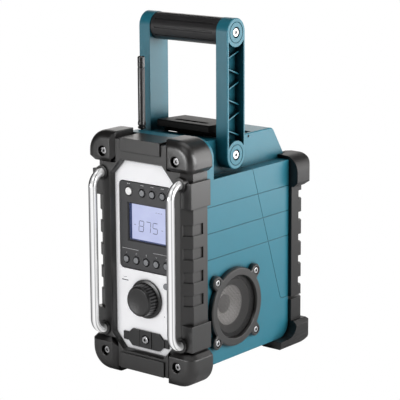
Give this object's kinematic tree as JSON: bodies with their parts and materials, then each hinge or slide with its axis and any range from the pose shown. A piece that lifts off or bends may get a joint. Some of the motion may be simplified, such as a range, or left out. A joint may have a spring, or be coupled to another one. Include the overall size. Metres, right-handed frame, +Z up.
{
  "type": "jobsite radio",
  "caption": "Upright building-site radio with folding handle, corner bumpers, bright guard bars, side loudspeakers, tuning knob and rear battery door.",
  "frame": {"origin": "on the floor under the middle of the bounding box, with the handle up", "axes": "+Z up, -Y the front with the controls, +X the radio's right side as seen from the front"},
  "size_m": [0.163, 0.256, 0.431],
  "materials": {
    "teal": "satin moulded plastic",
    "guard_plastic": "dark grey moulded guard",
    "bumper_rubber": "black rubber",
    "chrome": "bright bar",
    "steel": "plated screws and pins",
    "panel_silver": "pale panel",
    "keypad_grey": "dark grey inset",
    "display_clear": "clear window",
    "display_blue": "lit display",
    "button_grey": "grey keys",
    "button_white": "white key",
    "knob_black": "satin black",
    "circuit_board": "circuit board",
    "black_plastic": "black moulded",
    "antenna_black": "black flexible sleeve",
    "grille_black": "black perforated sheet",
    "driver_black": "black basket",
    "cone_grey": "grey cone"
  },
  "bodies": {
    "case": {"main_housing": "teal", "front_guard": "guard_plastic", "front_bumper_top_left": "bumper_rubber", "front_bumper_top_right": "bumper_rubber", "front_bumper_bottom_left": "bumper_rubber", "front_bumper_bottom_right": "bumper_rubber", "guard_bar_left": "chrome", "guard_bar_right": "chrome", "guard_screws": "steel", "control_panel": "panel_silver", "keypad_frame": "keypad_grey", "display_window": "display_clear", "display_module": "display_blue", "control_board": "circuit_board", "knob_encoder": "steel", "socket_cover": "bumper_rubber", "aux_socket": "black_plastic", "dc_socket": "black_plastic", "speaker_guard_left": "guard_plastic", "speaker_guard_right": "guard_plastic", "speaker_grille_left": "grille_black", "speaker_grille_right": "grille_black", "speaker_driver_left": "driver_black", "speaker_driver_right": "driver_black", "speaker_screws": "steel", "pivot_bolts": "steel", "antenna_base": "bumper_rubber", "rear_guard_lower": "guard_plastic", "battery_pack": "black_plastic", "battery_terminal": "black_plastic", "main_board": "circuit_board", "door_hinge_pin": "steel"},
    "handle": {"handle_arm_left": "teal", "handle_arm_right": "teal", "handle_grip": "bumper_rubber", "grip_core": "steel", "handle_screws": "steel"},
    "door": {"battery_door": "teal", "rear_guard_upper": "guard_plastic", "door_screws": "steel", "latch_pin": "steel"},
    "latch": {"door_latch": "knob_black"},
    "antenna": {"antenna_whip": "antenna_black"},
    "knob": {"tuning_knob": "knob_black"},
    "flap_left": {"socket_flap_left": "bumper_rubber"},
    "flap_right": {"socket_flap_right": "bumper_rubber"},
    "cone_left": {"speaker_cone_left": "cone_grey"},
    "cone_right": {"speaker_cone_right": "cone_grey"},
    "power_key": {"power_button": "button_white"},
    "band_key": {"band_button": "button_grey"},
    "sleep_key": {"sleep_button": "button_grey"},
    "tone_key": {"tone_button": "button_grey"},
    "preset_key_1": {"preset_button_1": "button_grey"},
    "preset_key_2": {"preset_button_2": "button_grey"},
    "preset_key_3": {"preset_button_3": "button_grey"},
    "preset_key_4": {"preset_button_4": "button_grey"},
    "preset_key_5": {"preset_button_5": "button_grey"},
    "mode_key": {"mode_button": "button_grey"}
  },
  "joints": [
    {"name": "handle_fold", "type": "hinge", "parent": "case", "child": "handle", "pos_m": [0, -0.00928, 0.2676], "axis": [-1, 0, 0], "range_deg": [0, 85]},
    {"name": "door_swing", "type": "hinge", "parent": "case", "child": "door", "pos_m": [0, 0.12112, 0.067], "axis": [-1, 0, 0], "range_deg": [0, 90]},
    {"name": "latch_lift", "type": "hinge", "parent": "door", "child": "latch", "pos_m": [0, 0.03712, 0.2815], "axis": [-1, 0, 0], "range_deg": [0, 30], "stiffness_Nm_per_rad": 0.15, "springref_deg": -8.59},
    {"name": "antenna_bend", "type": "hinge", "parent": "case", "child": "antenna", "pos_m": [-0.05, -0.04387, 0.2825], "axis": [0, 1, 0], "range_deg": [-20, 20], "stiffness_Nm_per_rad": 0.2},
    {"name": "knob_turn", "type": "hinge", "parent": "case", "child": "knob", "pos_m": [0.001, -0.11447, 0.098], "axis": [0, -1, 0], "continuous": true},
    {"name": "flap_left_swing", "type": "hinge", "parent": "case", "child": "flap_left", "pos_m": [-0.01055, -0.09857, 0.0471], "axis": [0, 0, 1], "range_deg": [0, 90]},
    {"name": "flap_right_swing", "type": "hinge", "parent": "case", "child": "flap_right", "pos_m": [0.01055, -0.09857, 0.0471], "axis": [0, 0, -1], "range_deg": [0, 90]},
    {"name": "cone_left_move", "type": "slide", "parent": "case", "child": "cone_left", "axis": [-1, 0, 0], "range_m": [-0.001, 0.001], "stiffness_N_per_m": 1500},
    {"name": "cone_right_move", "type": "slide", "parent": "case", "child": "cone_right", "axis": [1, 0, 0], "range_m": [-0.001, 0.001], "stiffness_N_per_m": 1500},
    {"name": "power_button_press", "type": "slide", "parent": "case", "child": "power_key", "axis": [0, 1, 0], "range_m": [0, 0.0007], "stiffness_N_per_m": 600},
    {"name": "band_button_press", "type": "slide", "parent": "case", "child": "band_key", "axis": [0, 1, 0], "range_m": [0, 0.0007], "stiffness_N_per_m": 600},
    {"name": "sleep_button_press", "type": "slide", "parent": "case", "child": "sleep_key", "axis": [0, 1, 0], "range_m": [0, 0.0007], "stiffness_N_per_m": 600},
    {"name": "tone_button_press", "type": "slide", "parent": "case", "child": "tone_key", "axis": [0, 1, 0], "range_m": [0, 0.0007], "stiffness_N_per_m": 600},
    {"name": "preset_button_1_press", "type": "slide", "parent": "case", "child": "preset_key_1", "axis": [0, 1, 0], "range_m": [0, 0.0007], "stiffness_N_per_m": 600},
    {"name": "preset_button_2_press", "type": "slide", "parent": "case", "child": "preset_key_2", "axis": [0, 1, 0], "range_m": [0, 0.0007], "stiffness_N_per_m": 600},
    {"name": "preset_button_3_press", "type": "slide", "parent": "case", "child": "preset_key_3", "axis": [0, 1, 0], "range_m": [0, 0.0007], "stiffness_N_per_m": 600},
    {"name": "preset_button_4_press", "type": "slide", "parent": "case", "child": "preset_key_4", "axis": [0, 1, 0], "range_m": [0, 0.0007], "stiffness_N_per_m": 600},
    {"name": "preset_button_5_press", "type": "slide", "parent": "case", "child": "preset_key_5", "axis": [0, 1, 0], "range_m": [0, 0.0007], "stiffness_N_per_m": 600},
    {"name": "mode_button_press", "type": "slide", "parent": "case", "child": "mode_key", "axis": [0, 1, 0], "range_m": [0, 0.0007], "stiffness_N_per_m": 600}
  ]
}
